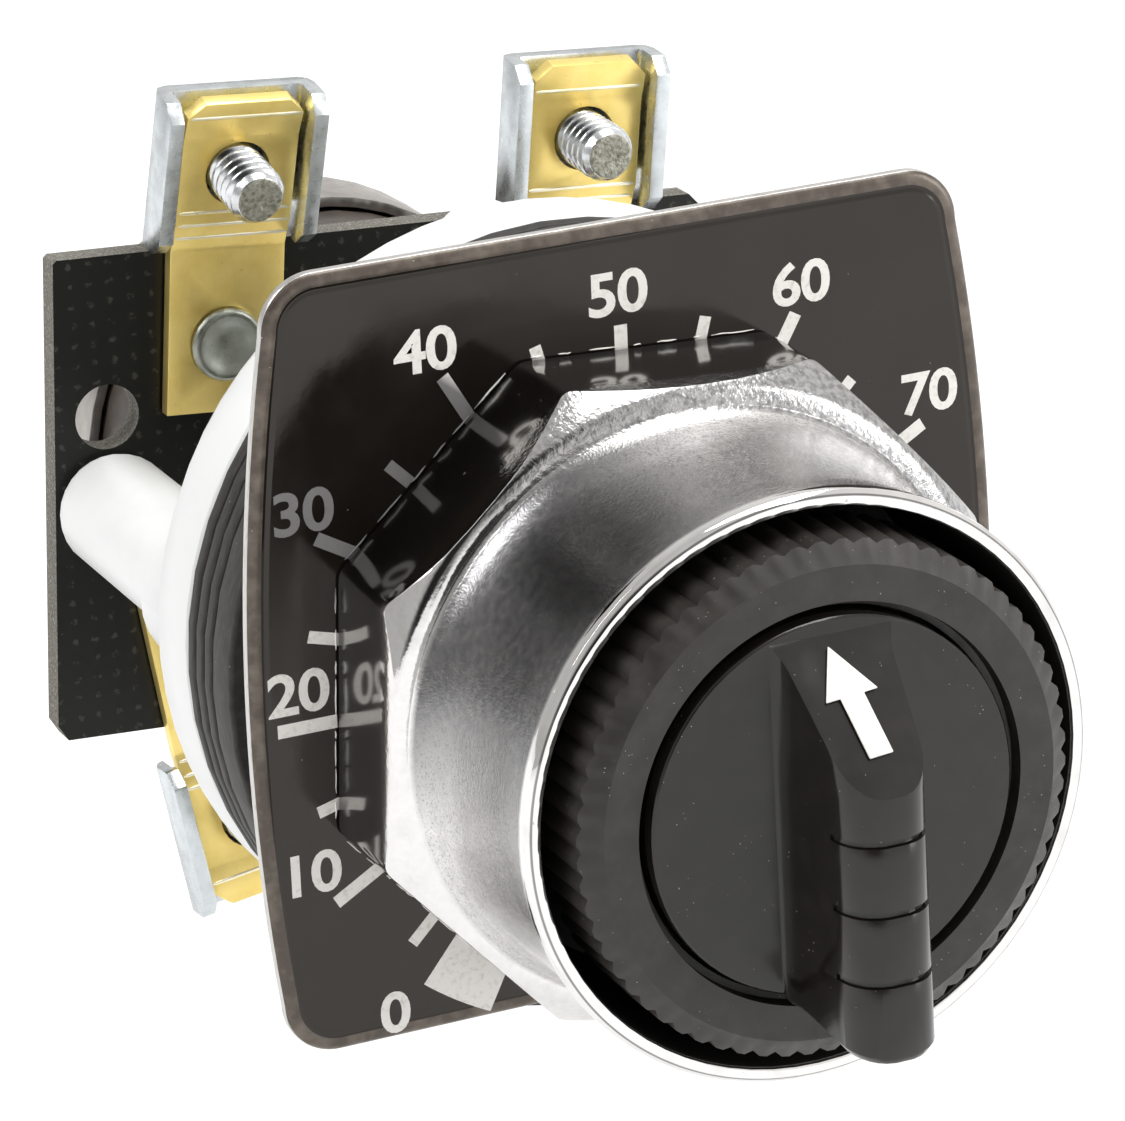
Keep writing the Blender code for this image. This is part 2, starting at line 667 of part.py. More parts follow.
def build_saddle(key):
    half = SADDLE_LEN / 2
    c = 1.3
    up = SADDLE_RISE
    sections = [saddle_section(up - half, c), saddle_section(up - half + c, 0.0)]
    sections += [saddle_section(up + half - c, 0.0), saddle_section(up + half, c)]
    saddle = loft(f"saddle_{key}", sections, 30)
    low = -half - 1
    high = -SADDLE_NOTCH
    notch = [(-STRIP_W / 2 - 0.3, low), (STRIP_W / 2 + 0.6, low), (STRIP_W / 2 + 0.6, high), (-STRIP_W / 2 - 0.3, high)]
    cutter = prism(f"saddle_notch_{key}", notch, -1.0, 3.0, 0)
    bake(cutter, pad_frame(key))
    combine(saddle, cutter, "DIFFERENCE")
    bake(saddle, pad_frame(key))
    drill(saddle, f"saddle_screw_{key}", SCREW_R + 0.35, -1, 4, matrix=pad_frame(key), segments=28)
    return paint(saddle, "zinc")


def build_screw(key):
    back = 0.25 + SADDLE_T + 0.25
    tip = -STRIP_T - SCREW_OUT
    pitch = 0.95
    core = SCREW_R - 0.42
    profile = [(0, tip), (SCREW_TIP_R - 0.25, tip), (SCREW_TIP_R, tip + 0.3)]
    y = tip + 0.55
    while y < -STRIP_T:
        profile += [(core, y), (SCREW_R, y + 0.5)]
        y += pitch
    profile += [(core, back), (SCREW_HEAD_R, back), (SCREW_HEAD_R, back + 1.6)]
    profile += [(SCREW_HEAD_R - 0.5, back + 2.2), (SCREW_HEAD_R - 1.6, back + SCREW_HEAD_H), (0, back + SCREW_HEAD_H)]
    screw = lathe(f"screw_{key}", profile, 20)
    bake(screw, pad_frame(key))
    slot = prism(f"screw_slot_{key}", [(-6, -0.5), (6, -0.5), (6, 0.5), (-6, 0.5)], back + 1.3, back + 5, 0)
    bake(slot, pad_frame(key) @ Matrix.Rotation(math.radians(25), 4, "Y"))
    combine(screw, slot, "DIFFERENCE")
    return paint(screw, "zinc")


def build_rivet(key):
    front = -STRIP_GAP - STRIP_T - 0.12
    rear = BOARD_T + 0.15
    profile = [
        (0, front + 0.1), (0.9, front - 0.02), (1.9, front - 0.45), (2.5, front - 0.75), (RIVET_R - 0.2, front - 0.7),
        (RIVET_R, front - 0.4), (RIVET_R, front), (RIVET_SHANK_R, front), (RIVET_SHANK_R, rear),
        (RIVET_R - 0.3, rear), (RIVET_R - 0.3, rear + 0.4), (RIVET_R - 0.9, rear + 0.75), (0, rear + 0.75),
    ]
    rivet = lathe(f"rivet_{key}", profile, 22)
    bake(rivet, terminal_matrix(key))
    return paint(rivet, "zinc")


def build_pot_base():
    front = BOARD_Y + BOARD_T + 0.3
    thread = thread_profile(POT_BUSHING_R, 0.4, 2.4, POT_BUSHING_FRONT_Y, front)
    profile = [(SHAFT_R + 0.35, POT_BUSHING_FRONT_Y)] + thread
    profile += [
        (12.0, front), (12.0, POT_FRONT_Y), (POT_BASE_R - 0.5, POT_FRONT_Y), (POT_BASE_R, POT_FRONT_Y + 0.5),
        (POT_BASE_R, POT_SPLIT_Y - 0.3), (18.9, POT_SPLIT_Y - 0.1), (18.9, POT_SPLIT_Y + 1.4),
        (SHAFT_R + 0.35, POT_SPLIT_Y + 1.4),
    ]
    return paint(lathe("pot_base", profile, 40), "bakelite")


def build_pot_can():
    r = POT_CAN_R
    profile = [
        (r - 0.9, POT_SPLIT_Y), (r, POT_SPLIT_Y), (r, POT_REAR_Y - 2.2), (r - 0.45, POT_REAR_Y - 0.9),
        (r - 1.4, POT_REAR_Y - 0.15), (r - 2.4, POT_REAR_Y), (0, POT_REAR_Y), (0, POT_REAR_Y - 1.0),
        (r - 2.5, POT_REAR_Y - 1.0), (r - 0.9, POT_REAR_Y - 2.6),
    ]
    return paint(lathe("pot_can", profile, 48), "nickel")


def sector_ring(name, inner, outer, y0, y1, start, end, steps=40):
    points = arc((0, 0), outer, start, end, steps) + arc((0, 0), inner, end, start, steps)
    return prism(name, points, y0, y1)


def build_pot_inside():
    front = POT_SPLIT_Y + 1.4 + 0.3
    element = sector_ring("pot_element", 12.0, 16.5, front, front + 0.7, -60, 240)
    bake(element, rear_matrix())
    paint(element, "carbon")
    y0 = front + 1.1
    hub = lathe("pot_wiper", [(SHAFT_R + 0.3, y0), (5.6, y0), (5.6, y0 + 1.4), (SHAFT_R + 0.3, y0 + 1.4)], 32)
    arm = prism("wiper_arm", [(-1.6, 4.6), (1.6, 4.6), (2.2, 15.6), (-2.2, 15.6)], y0 + 0.2, y0 + 1.0, 0)
    combine(hub, arm, "UNION")
    return paint(hub, "brass")


def build_pot_nut():
    y1 = BOARD_Y - 0.3
    outline = []
    for i in range(6):
        angle = math.pi / 3 * i + 0.3
        outline.append((8.1 * math.cos(angle), 8.1 * math.sin(angle)))
    nut = prism("pot_nut", outline, y1 - 3.2, y1 - 0.9, 0)
    drill(nut, "pot_nut", POT_BUSHING_R + 0.35, y1 - 6, y1 + 2)
    paint(nut, "zinc")
    washer = [(5.1, y1 - 0.6), (8.6, y1 - 0.6), (8.6, y1), (5.1, y1)]
    return paint(lathe("pot_washer", washer, 40), "zinc")


def build_post_screw(side, x):
    rear = BOARD_Y + BOARD_T + 0.15
    profile = [
        (0, BOARD_Y - 8), (1.2, BOARD_Y - 8), (1.2, rear), (3.0, rear), (3.0, rear + 0.9),
        (2.4, rear + 1.5), (1.5, rear + 1.5), (1.5, rear + 0.8), (0, rear + 0.8),
    ]
    screw = place_y(lathe(f"post_screw_{side}", profile, 20), x, POST_Z)
    bake(screw, rear_matrix())
    return paint(screw, "zinc")


def main():
    clear_scene()
    bpy.context.scene.unit_settings.scale_length = 1.0
    build_plate()
    build_nut()
    build_bushing()
    build_knob_ring()
    build_knob()
    build_arrow()
    build_set_screw()
    build_shaft()
    build_gaskets()
    body = build_body()
    board = build_board()
    for turned in (body, board):
        turned.matrix_world = rear_matrix()
        for modifier in turned.modifiers:
            modifier.object.matrix_world = rear_matrix()
    for key in TERMINALS:
        build_strip(key)
        build_saddle(key)
        build_screw(key)
        build_rivet(key)
    build_pot_base()
    build_pot_can()
    build_pot_inside()
    build_pot_nut()
    build_post_screw("left", -POST_X)
    build_post_screw("right", POST_X)


main()
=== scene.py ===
"""Look of a panel-mounted rotary potentiometer operator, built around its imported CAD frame.
Metres in the scene; helper functions take millimetres and scale by MM."""

import math
import random

import bmesh
import bpy
from mathutils import Matrix, Vector
from mathutils.bvhtree import BVHTree


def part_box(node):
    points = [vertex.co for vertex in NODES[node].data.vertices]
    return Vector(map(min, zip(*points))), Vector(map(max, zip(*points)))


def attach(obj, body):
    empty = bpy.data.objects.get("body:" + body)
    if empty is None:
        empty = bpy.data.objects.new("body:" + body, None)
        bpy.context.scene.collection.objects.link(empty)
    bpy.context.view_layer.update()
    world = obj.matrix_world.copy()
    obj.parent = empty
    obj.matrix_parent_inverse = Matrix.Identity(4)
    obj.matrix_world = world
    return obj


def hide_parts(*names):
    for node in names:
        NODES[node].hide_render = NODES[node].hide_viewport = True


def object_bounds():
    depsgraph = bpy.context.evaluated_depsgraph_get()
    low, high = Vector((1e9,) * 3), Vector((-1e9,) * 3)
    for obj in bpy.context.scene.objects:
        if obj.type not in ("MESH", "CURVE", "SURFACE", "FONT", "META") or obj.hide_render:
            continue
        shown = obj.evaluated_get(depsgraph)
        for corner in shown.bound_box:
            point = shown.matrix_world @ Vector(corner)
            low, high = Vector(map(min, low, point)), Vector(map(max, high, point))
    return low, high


MM = 0.001
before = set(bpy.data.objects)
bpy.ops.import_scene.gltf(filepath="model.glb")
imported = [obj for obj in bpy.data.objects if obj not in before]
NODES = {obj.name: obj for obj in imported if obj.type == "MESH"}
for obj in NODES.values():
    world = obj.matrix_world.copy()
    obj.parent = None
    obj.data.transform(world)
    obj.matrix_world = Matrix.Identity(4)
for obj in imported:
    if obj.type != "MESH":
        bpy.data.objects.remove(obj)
CAD_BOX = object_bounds()
MIX_FLOAT_A, MIX_FLOAT_B = 2, 3  # sockets of the mix node, which shares its names between types
MIX_COLOUR_A, MIX_COLOUR_B, MIX_COLOUR_OUT = 6, 7, 2
NODE_TYPES = {
    "VECT_MATH": "ShaderNodeVectorMath", "MATH": "ShaderNodeMath", "NOISE": "ShaderNodeTexNoise",
    "VORONOI": "ShaderNodeTexVoronoi", "WAVE": "ShaderNodeTexWave", "MAP": "ShaderNodeMapRange",
    "MIX": "ShaderNodeMix", "RGB": "ShaderNodeRGB", "VALUE": "ShaderNodeValue",
    "XYZ": "ShaderNodeSeparateXYZ", "BUMP": "ShaderNodeBump", "GEO": "ShaderNodeNewGeometry",
    "MAPPING": "ShaderNodeMapping",
}


# ---------------------------------------------------------------- materials
class Net:
    """A Principled material with short calls for the nodes that feed it. Lengths are in millimetres."""

    def __init__(self, name, base, rough, metal=0.0, spec=0.5):
        self.mat = bpy.data.materials.new(name)
        self.mat.use_nodes = True
        self.tree = self.mat.node_tree
        self.bsdf = self.tree.nodes["Principled BSDF"]
        place = self.tree.nodes.new("ShaderNodeTexCoord")
        scale = self.node("VECT_MATH", operation="SCALE")
        self.tree.links.new(place.outputs["Object"], scale.inputs[0])
        scale.inputs["Scale"].default_value = 1.0 / MM
        self.at = scale.outputs["Vector"]
        self.colour = self.rgb(base)
        self.rough = self.value(rough)
        self.height = None
        self.set("Metallic", metal)
        self.set("Specular IOR Level", spec)

    def set(self, socket, value):
        self.bsdf.inputs[socket].default_value = value

    def node(self, kind, **props):
        made = self.tree.nodes.new(NODE_TYPES[kind])
        for key, value in props.items():
            setattr(made, key, value)
        return made

    def feed(self, socket, value):
        if isinstance(value, (int, float)):
            socket.default_value = value
        else:
            self.tree.links.new(value, socket)

    def rgb(self, colour):
        made = self.node("RGB")
        made.outputs[0].default_value = (*colour, 1.0)
        return made.outputs[0]

    def value(self, number):
        made = self.node("VALUE")
        made.outputs[0].default_value = number
        return made.outputs[0]

    def math(self, operation, a, b=0.0):
        made = self.node("MATH", operation=operation)
        for socket, value in zip(made.inputs, (a, b)):
            self.feed(socket, value)
        return made.outputs[0]

    def stretch(self, sx, sy, sz):
        made = self.node("MAPPING")
        made.inputs["Scale"].default_value = (sx, sy, sz)
        self.tree.links.new(self.at, made.inputs["Vector"])
        return made.outputs[0]

    def noise(self, size, detail=3.0, at=None, rough=0.55):
        """Cloudy noise, 0 to 1, with features of about this size."""
        made = self.node("NOISE")
        self.feed(made.inputs["Vector"], at or self.at)
        self.feed(made.inputs["Scale"], 1.0 / size)
        self.feed(made.inputs["Detail"], detail)
        self.feed(made.inputs["Roughness"], rough)
        return made.outputs["Fac"]

    def between(self, value, low, high, to_low=0.0, to_high=1.0):
        made = self.node("MAP", clamp=True)
        self.feed(made.inputs["Value"], value)
        for key, number in (("From Min", low), ("From Max", high), ("To Min", to_low), ("To Max", to_high)):
            made.inputs[key].default_value = number
        return made.outputs["Result"]

    def specks(self, cell, radius, clump=6.0, share=0.5):
        """Small round spots, one at most to a cell, thinned out by a wide noise."""
        made = self.node("VORONOI")
        self.feed(made.inputs["Vector"], self.at)
        self.feed(made.inputs["Scale"], 1.0 / cell)
        size = radius / cell
        wobble = self.between(self.noise(radius * 1.5), 0.3, 0.7, 0.0, size)
        ragged = self.math("ADD", made.outputs["Distance"], wobble)
        spot = self.between(ragged, size, size * 1.5, 1.0, 0.0)
        keep = self.between(self.noise(clump, 2.0), 1.0 - share, 1.02 - share)
        return self.times(spot, keep)

    def times(self, a, b):
        return self.math("MULTIPLY", a, b)

    def band(self, value, low, high, fade):
        """1 where value lies between low and high, fading to 0 over fade outside it."""
        return self.times(self.between(value, low - fade, low), self.between(value, high + fade, high))

    def axes(self):
        made = self.node("XYZ")
        self.tree.links.new(self.at, made.inputs[0])
        return made.outputs

    def radius(self):
        x, _, z = self.axes()
        return self.math("SQRT", self.math("ADD", self.math("MULTIPLY", x, x), self.math("MULTIPLY", z, z)))

    def tint(self, factor, colour):
        made = self.node("MIX", data_type="RGBA")
        self.feed(made.inputs["Factor"], factor)
        self.feed(made.inputs[MIX_COLOUR_A], self.colour)
        if isinstance(colour, tuple):
            made.inputs[MIX_COLOUR_B].default_value = (*colour, 1.0)
        else:
            self.feed(made.inputs[MIX_COLOUR_B], colour)
        self.colour = made.outputs[MIX_COLOUR_OUT]
        return self

    def roughen(self, factor, to):
        made = self.node("MIX", data_type="FLOAT")
        self.feed(made.inputs["Factor"], factor)
        self.feed(made.inputs[MIX_FLOAT_A], self.rough)
        self.feed(made.inputs[MIX_FLOAT_B], to)
        self.rough = made.outputs[0]
        return self

    def raise_by(self, value, amount):
        """Adds value times amount millimetres to the bump height."""
        part = self.math("MULTIPLY", value, amount)
        self.height = part if self.height is None else self.math("ADD", self.height, part)
        return self

    def metal(self, value):
        self.feed(self.bsdf.inputs["Metallic"], value)
        return self

    def done(self):
        self.tree.links.new(self.colour, self.bsdf.inputs["Base Color"])
        self.tree.links.new(self.rough, self.bsdf.inputs["Roughness"])
        if self.height is not None:
            bump = self.node("BUMP")
            bump.inputs["Strength"].default_value = 1.0
            bump.inputs["Distance"].default_value = MM
            self.tree.links.new(self.height, bump.inputs["Height"])
            self.tree.links.new(bump.outputs["Normal"], self.bsdf.inputs["Normal"])
        return self.mat


def enamel():
    """Gloss black face of the dial plate: wide unevenness, fine dust, faint wiping marks."""
    n = Net("enamel_black", (0.0088, 0.0070, 0.0056), 0.09, spec=0.50)
    n.set("Specular Tint", (1.0, 0.94, 0.88, 1.0))
    n.tint(n.between(n.noise(9.0, 4.0), 0.45, 0.75, 0.0, 0.6), (0.016, 0.014, 0.012))
    n.tint(n.specks(1.6, 0.055, 7.0, 0.45), (0.30, 0.28, 0.25))
    n.tint(n.specks(4.1, 0.11, 11.0, 0.35), (0.22, 0.20, 0.17))
    n.roughen(n.between(n.noise(5.0, 5.0), 0.4, 0.7), 0.2)
    n.raise_by(n.noise(3.0, 2.0), 0.012)
    n.raise_by(n.noise(0.35, 2.0), 0.0016)
    return n.done()


def plate_edge():
    n = Net("plate_edge_aluminium", (0.60, 0.59, 0.575), 0.32, metal=0.9)
    n.tint(n.between(n.noise(1.2, 4.0, n.stretch(1, 5, 1)), 0.5, 0.75), (0.40, 0.385, 0.36))
    n.raise_by(n.noise(0.18, 3.0, n.stretch(1, 4, 1)), 0.01)
    return n.done()


def plate_roll():
    n = Net("plate_roll_brown", (0.085, 0.068, 0.055), 0.3, metal=0.35)
    n.tint(n.between(n.noise(1.6, 4.0), 0.45, 0.7), (0.16, 0.135, 0.11))
    n.tint(n.specks(0.8, 0.06, 4.0, 0.4), (0.45, 0.42, 0.38))
    n.raise_by(n.noise(0.3, 3.0), 0.008)
    return n.done()


def print_white():
    """White print, greyed by painted shade in a patch at the upper left of the dial."""
    n = Net("print_white", (0.83, 0.81, 0.77), 0.45)
    n.tint(n.between(n.noise(0.45, 5.0), 0.52, 0.8), (0.55, 0.53, 0.49))
    n.tint(n.specks(0.7, 0.05, 3.0, 0.35), (0.20, 0.18, 0.16))
    x, _, z = n.axes()
    # masks for the painted shade: part of the scale's strokes and the numeral 30
    along = n.math("SUBTRACT", n.times(z, 0.64), n.times(x, 0.77))
    across = n.math("SUBTRACT", n.math("ADD", n.times(z, 0.77), n.times(x, 0.64)), 3.0)
    beyond_strokes = n.times(n.math("MAXIMUM", n.math("SUBTRACT", along, 27.9), 0.0), 8.0)
    lower_end = n.between(across, -12.5, -10.5)
    strokes = n.times(n.between(n.math("ADD", across, beyond_strokes), 7.6, 6.6), lower_end)
    numeral_30 = n.times(n.between(across, -0.5, -1.5), lower_end)
    painted_shade = n.times(n.math("MAXIMUM", strokes, numeral_30), n.between(along, 21.0, 23.0))
    # painted shade greys the print in that patch
    n.tint(n.times(painted_shade, 0.92), (0.125, 0.122, 0.125))
    n.raise_by(n.noise(0.2, 3.0), 0.004)
    return n.done()


def chrome():
    """Plated nut: mirror flats, a sparkling pebbled shoulder, a fine-grained barrel with a painted dark
    reflection at its upper left, black inside.
    """
    n = Net("chrome_plate", (0.82, 0.81, 0.80), 0.05, metal=1.0)
    n.tint(n.between(n.noise(7.0, 2.0), 0.4, 0.7, 0.0, 0.25), (0.62, 0.61, 0.60))
    x, y, z = n.axes()
    r = n.radius()
    inside = n.times(n.between(r, 21.15, 21.05), n.between(y, -30.25, -30.1))
    barrel = n.times(n.between(y, -11.9, -12.2), n.between(r, 21.2, 21.3))
    barrel = n.times(barrel, n.between(y, -29.4, -28.9))
    shoulder = n.times(n.between(y, -8.6, -9.6), n.between(y, -12.3, -12.0))
    upper_right = n.between(n.math("ADD", n.times(x, 0.75), n.times(z, 0.66)), -2.0, 12.0)
    # mask of the painted dark reflection on the barrel's upper left
    painted_reflection_upper_left = n.between(n.math("SUBTRACT", n.times(z, 0.62), n.times(x, 0.78)), 14.0, 20.5, 0.0, 0.93)
    cast = n.times(shoulder, n.between(upper_right, 0.0, 1.0, 0.12, 1.0))
    seam = n.times(n.between(y, -30.0, -30.2), n.band(r, 21.78, 21.86, 0.06))
    flats = n.times(n.between(y, -9.4, -8.9), n.between(r, 22.8, 23.2))
    n.tint(n.between(n.noise(2.2, 4.0), 0.5, 0.8, 0.0, 0.35), (0.50, 0.48, 0.46))
    # painted reflection: a dark bluish patch on the barrel's upper left
    n.tint(n.times(barrel, painted_reflection_upper_left), (0.085, 0.088, 0.10))
    n.tint(n.times(barrel, n.between(n.noise(0.7, 4.0), 0.3, 0.8, 0.1, 0.5)), (0.46, 0.445, 0.43))
    n.roughen(n.times(barrel, 0.9), 0.27)
    n.roughen(n.times(cast, 0.9), 0.22)
    n.tint(n.times(cast, n.between(n.noise(0.5, 3.0), 0.35, 0.6, 1.0, 0.55)), (0.27, 0.27, 0.275))
    n.roughen(n.between(n.noise(1.1, 5.0), 0.55, 0.8, 0.0, 0.5), 0.16)
    n.raise_by(n.times(n.noise(0.42, 3.0), n.math("ADD", barrel, n.times(cast, 4.0))), 0.016)
    n.raise_by(n.times(n.noise(0.2, 3.0), barrel), 0.024)
    n.tint(n.times(barrel, n.between(n.noise(0.17, 2.0), 0.56, 0.66, 0.0, 0.55)), (0.20, 0.19, 0.185))
    n.raise_by(n.noise(4.0, 2.0), 0.012)
    n.raise_by(n.specks(1.5, 0.10, 9.0, 0.5), -0.02)
    n.tint(n.specks(1.9, 0.085, 9.0, 0.5), (0.10, 0.09, 0.085))
    n.tint(n.times(seam, 0.75), (0.08, 0.08, 0.08))
    n.tint(n.times(flats, 0.62), (0.22, 0.215, 0.21))
    n.roughen(flats, 0.13)
    n.tint(inside, (0.012, 0.011, 0.010))
    n.roughen(inside, 0.5)
    n.metal(n.math("SUBTRACT", 1.0, inside))
    return n.done()


def plastic(name, dark, light, rough, grain, dust=0.4):
    """Moulded black plastic with a fine texture, cloudy handling marks and dust."""
    n = Net(name, dark, rough)
    n.tint(n.between(n.noise(2.4, 5.0), 0.42, 0.75), light)
    n.tint(n.specks(0.9, 0.05, 5.0, dust), (0.42, 0.39, 0.35))
    n.tint(n.specks(2.3, 0.08, 8.0, dust * 0.7), (0.30, 0.27, 0.24))
    n.roughen(n.between(n.noise(3.1, 4.0), 0.45, 0.75), min(1.0, rough * 1.5))
    n.tint(n.specks(0.55, 0.035, 2.5, dust), (0.50, 0.47, 0.43))
    scratch = n.noise(0.9, 6.0, n.stretch(0.25, 1.0, 2.6), 0.7)
    n.tint(n.between(scratch, 0.66, 0.74, 0.0, 0.35), (0.060, 0.055, 0.050))
    n.raise_by(n.noise(0.16, 2.0), grain)
    n.raise_by(n.noise(1.4, 2.0), grain * 1.5)
    return n.done()


def rubber():
    n = Net("rubber_gasket", (0.019, 0.0175, 0.016), 0.55, spec=0.36)
    n.tint(n.between(n.noise(1.3, 6.0, n.stretch(1, 3, 1)), 0.42, 0.72), (0.042, 0.039, 0.036))
    n.tint(n.specks(0.85, 0.05, 4.0, 0.5), (0.42, 0.40, 0.37))
    n.tint(n.specks(2.6, 0.12, 7.0, 0.35), (0.22, 0.21, 0.19))
    n.raise_by(n.noise(0.14, 3.0), 0.01)
    n.raise_by(n.noise(1.1, 3.0), 0.018)
    return n.done()


def white_moulding():
    n = Net("white_moulding", (0.74, 0.75, 0.745), 0.38, spec=0.45)
    n.tint(n.between(n.noise(6.0, 4.0), 0.5, 0.8), (0.69, 0.70, 0.70))
    n.tint(n.specks(3.2, 0.085, 9.0, 0.4), (0.10, 0.09, 0.08))
    n.tint(n.specks(1.3, 0.035, 6.0, 0.3), (0.35, 0.33, 0.30))
    n.raise_by(n.noise(0.25, 3.0), 0.004)
    return n.done()


def laminate():
    """Black fibre board: woven dots on its faces and pale torn fibres along the sawn edge."""
    n = Net("fibre_laminate", (0.0075, 0.0078, 0.0065), 0.30, spec=0.26)
    weave = n.node("WAVE", wave_type="BANDS", bands_direction="X")
    cross = n.node("WAVE", wave_type="BANDS", bands_direction="Z")
    for w in (weave, cross):
        n.feed(w.inputs["Vector"], n.at)
        n.feed(w.inputs["Scale"], 0.19)
        n.feed(w.inputs["Distortion"], 0.5)
        n.feed(w.inputs["Detail"], 1.0)
    dots = n.times(weave.outputs["Fac"], cross.outputs["Fac"])
    woven = n.times(dots, n.between(n.noise(0.5, 3.0), 0.3, 0.6))
    n.tint(n.between(woven, 0.5, 0.85), (0.045, 0.044, 0.036))
    geo = n.node("GEO")
    side = n.node("XYZ")
    n.tree.links.new(geo.outputs["True Normal"], side.inputs[0])
    edge = n.between(n.math("ABSOLUTE", side.outputs[1]), 0.5, 0.3)
    fibre = n.between(n.noise(0.22, 5.0, n.stretch(1, 3, 1)), 0.38, 0.66)
    n.tint(n.times(edge, n.between(fibre, 0.0, 1.0, 0.55, 1.0)), (0.30, 0.285, 0.25))
    n.tint(n.times(edge, n.between(fibre, 0.5, 1.0)), (0.56, 0.54, 0.48))
    n.roughen(edge, 0.9)
    n.tint(n.specks(1.1, 0.05, 6.0, 0.4), (0.36, 0.34, 0.30))
    n.raise_by(dots, 0.012)
    n.raise_by(n.times(edge, fibre), 0.09)
    return n.done()


def sheet_brass():
    n = Net("sheet_brass", (1.0, 0.78, 0.27), 0.34, metal=0.8)
    n.tint(n.between(n.noise(2.6, 5.0), 0.45, 0.85), (0.86, 0.64, 0.18))
    n.tint(n.between(n.noise(0.8, 5.0), 0.66, 0.86), (0.45, 0.34, 0.12))
    n.tint(n.specks(1.4, 0.08, 5.0, 0.4), (0.20, 0.15, 0.08))
    n.roughen(n.between(n.noise(1.6, 5.0), 0.45, 0.75), 0.36)
    n.raise_by(n.noise(0.3, 4.0, n.stretch(3, 1, 0.35)), 0.010)
    n.raise_by(n.noise(2.0, 2.0), 0.012)
    return n.done()


def zinc(name="zinc_plate", base=(0.64, 0.68, 0.70), dark=(0.50, 0.525, 0.54), rough=0.27):
    n = Net(name, base, rough, metal=1.0)
    n.tint(n.between(n.noise(1.8, 5.0), 0.45, 0.75), dark)
    n.tint(n.specks(1.1, 0.07, 4.0, 0.5), (0.16, 0.15, 0.13))
    n.tint(n.between(n.noise(0.5, 5.0), 0.68, 0.84, 0.0, 0.6), (0.36, 0.34, 0.28))
    n.roughen(n.between(n.noise(1.0, 5.0), 0.45, 0.75), rough * 1.7)
    n.raise_by(n.noise(0.16, 4.0), 0.006)
    n.raise_by(n.noise(1.3, 3.0), 0.006)
    return n.done()


def steel_nickel():
    return zinc("dull_nickel", (0.45, 0.425, 0.40), (0.34, 0.32, 0.30), 0.34)


def phenolic():
    return plastic("phenolic", (0.050, 0.040, 0.034), (0.085, 0.070, 0.060), 0.36, 0.004, dust=0.3)


def carbon():
    return plastic("carbon_film", (0.012, 0.012, 0.012), (0.022, 0.022, 0.022), 0.5, 0.004, dust=0.1)


MATERIALS = {
    "knob": plastic(
        "knob_plastic", (0.0080, 0.0066, 0.0056), (0.014, 0.0115, 0.0098), 0.15, 0.0026, dust=0.45),
    "knob_ring": plastic(
        "ring_plastic", (0.019, 0.0165, 0.0145), (0.034, 0.030, 0.027), 0.42, 0.009, dust=0.5),
    "arrow_insert": print_white(),
    "body_flange": white_moulding(),
    "terminal_board": laminate(),
    "ring_nut": chrome(),
    "pot_base": phenolic(),
    "pot_element": carbon(),
}
RUBBER = rubber()
ZINC = zinc()
NICKEL = steel_nickel()
BRASS = sheet_brass()
# pale metal for the press lines: painted highlights along the brass strips' bends
PAINTED_HIGHLIGHT = zinc("press_line_painted_highlight", (0.98, 0.94, 0.78), (0.90, 0.80, 0.48), 0.35)
RIVET = zinc("rivet_zinc", (0.34, 0.36, 0.325), (0.22, 0.23, 0.20), 0.30)
for name in NODES:
    if name.startswith("gasket"):
        MATERIALS[name] = RUBBER
    elif name.startswith("strip"):
        MATERIALS[name] = BRASS
    elif name.startswith("rivet"):
        MATERIALS[name] = RIVET
    elif name in ("pot_can", "pot_nut", "pot_washer", "pot_wiper", "shaft"):
        MATERIALS[name] = NICKEL


def smoothing(degrees):
    """Geometry nodes that shade smooth except across edges sharper than this."""
    tree = bpy.data.node_groups.new("smooth_by_angle_%d" % degrees, "GeometryNodeTree")
    tree.interface.new_socket("Geometry", in_out="INPUT", socket_type="NodeSocketGeometry")
    tree.interface.new_socket("Geometry", in_out="OUTPUT", socket_type="NodeSocketGeometry")
    start = tree.nodes.new("NodeGroupInput")
    end = tree.nodes.new("NodeGroupOutput")
    faces = tree.nodes.new("GeometryNodeSetShadeSmooth")
    edges = tree.nodes.new("GeometryNodeSetShadeSmooth")
    edges.domain = "EDGE"
    angle = tree.nodes.new("GeometryNodeInputMeshEdgeAngle")
    flat = tree.nodes.new("FunctionNodeCompare")
    flat.data_type = "FLOAT"
    flat.operation = "LESS_EQUAL"
    flat.inputs[1].default_value = math.radians(degrees)
    link = tree.links.new
    link(start.outputs[0], faces.inputs["Geometry"])
    link(faces.outputs[0], edges.inputs["Geometry"])
    link(angle.outputs["Unsigned Angle"], flat.inputs[0])
    link(flat.outputs[0], edges.inputs["Shade Smooth"])
    link(edges.outputs[0], end.inputs[0])
    return tree


BEVEL_ANGLE_DEG = 35.0
SMOOTH_TREE = smoothing(33)


def soften(obj, bevel=0.0):
    """Welds the imported triangles, rounds sharp edges by bevel millimetres and shades smooth."""
    weld = obj.modifiers.new("weld", "WELD")
    weld.merge_threshold = 2e-7
    if bevel:
        flat = obj.modifiers.new("flat", "DECIMATE")
        flat.decimate_type = "DISSOLVE"
        flat.angle_limit = math.radians(0.6)
        edge = obj.modifiers.new("edge", "BEVEL")
        edge.width = bevel * MM
        edge.segments = 2
        edge.limit_method = "ANGLE"
        edge.angle_limit = math.radians(BEVEL_ANGLE_DEG)
        edge.use_clamp_overlap = True
    smooth = obj.modifiers.new("smooth", "NODES")
    smooth.node_group = SMOOTH_TREE


def bevel_width(name):
    """Millimetres taken off the sharp edges of a CAD node; 0 leaves them as they are."""
    if name in ("terminal_board", "threaded_bushing", "knob_ring", "pot_element", "legend_plate"):
        return 0.0
    if name.startswith(("saddle", "strip", "rivet")):
        return 0.14
    if name.startswith("gasket"):
        return 0.18
    return {"ring_nut": 0.22, "knob": 0.18}.get(name, 0.12)


for name, obj in NODES.items():
    obj.data.materials.clear()
    obj.data.materials.append(MATERIALS.get(name, ZINC))
    soften(obj, bevel_width(name))


